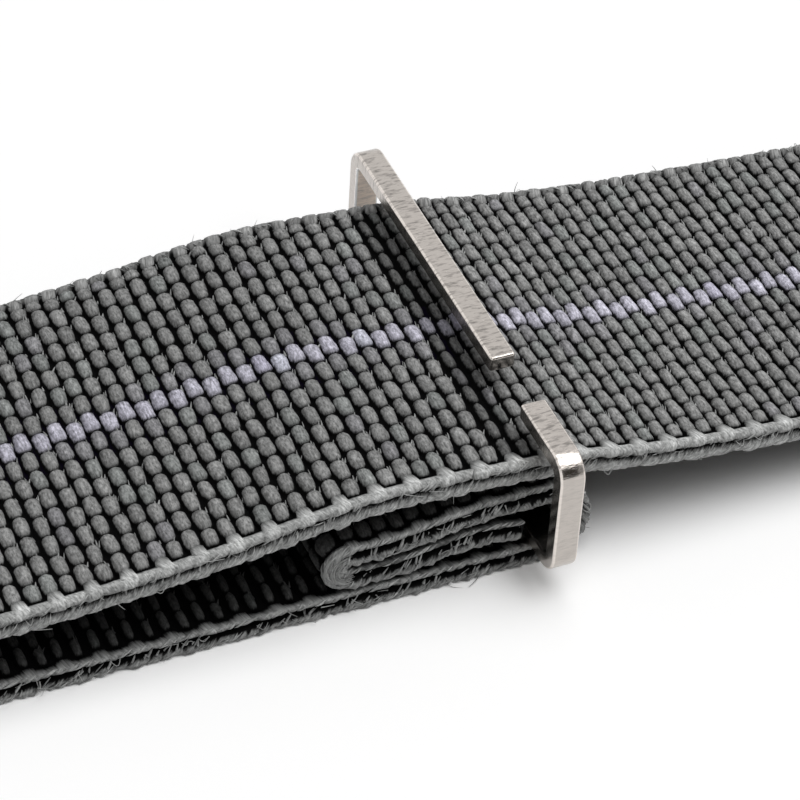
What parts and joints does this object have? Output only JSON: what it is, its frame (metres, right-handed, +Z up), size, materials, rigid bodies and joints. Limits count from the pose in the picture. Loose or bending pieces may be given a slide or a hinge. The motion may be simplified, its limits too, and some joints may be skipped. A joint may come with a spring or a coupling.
{
  "type": "elastic watch strap",
  "caption": "Single-pass elastic woven watch strap with a sliding adjuster ring, a formed hook clasp and a catch loop, laid out flat.",
  "frame": {"origin": "on the table, under the middle of the laid-out strap's bounding box", "axes": "+X along the strap from the hook clasp to the catch loop, +Y across the band away from the picture's camera, +Z up"},
  "size_m": [0.1508, 0.0252, 0.0085],
  "materials": {
    "webbing": "ribbed grey elastic weave with a pale centre stripe",
    "ring_steel": "satin, cross-brushed",
    "hook_steel": "satin, brushed",
    "catch_steel": "satin, brushed"
  },
  "bodies": {
    "catch_end": {"band_feed_run": "webbing", "band_end_run": "webbing"},
    "slider": {"band_crossing": "webbing", "band_ring_tail": "webbing"},
    "loop_end": {"band_hook_turn": "webbing", "band_top_run": "webbing", "band_bottom_run": "webbing"},
    "ring": {"slider_ring": "ring_steel"},
    "hook": {"hook_clasp": "hook_steel"},
    "catch": {"catch_loop": "catch_steel"}
  },
  "joints": [
    {"name": "size_adjust", "type": "slide", "parent": "catch_end", "child": "slider", "axis": [1, 0, 0], "range_m": [-0.03, 0.02], "deforming": ["band_feed_run"]},
    {"name": "loop_feed", "type": "slide", "parent": "slider", "child": "loop_end", "axis": [1, 0, 0], "range_m": [-0.01, 0.015], "deforming": ["band_top_run", "band_bottom_run"]},
    {"name": "ring_tilt", "type": "hinge", "parent": "slider", "child": "ring", "pos_m": [-0.0216, 0, 0.00193], "axis": [0, 1, 0], "range_deg": [-15, 25]},
    {"name": "hook_swing", "type": "hinge", "parent": "loop_end", "child": "hook", "pos_m": [-0.0656, 0, 0.00225], "axis": [0, 1, 0], "range_deg": [-125, 115]},
    {"name": "catch_swing", "type": "hinge", "parent": "catch_end", "child": "catch", "pos_m": [0.0664, 0, 0.00225], "axis": [0, 1, 0], "range_deg": [-160, 140]}
  ],
  "couplings": [
    {"joint": "loop_feed", "follows": "size_adjust", "ratio": -0.5}
  ]
}
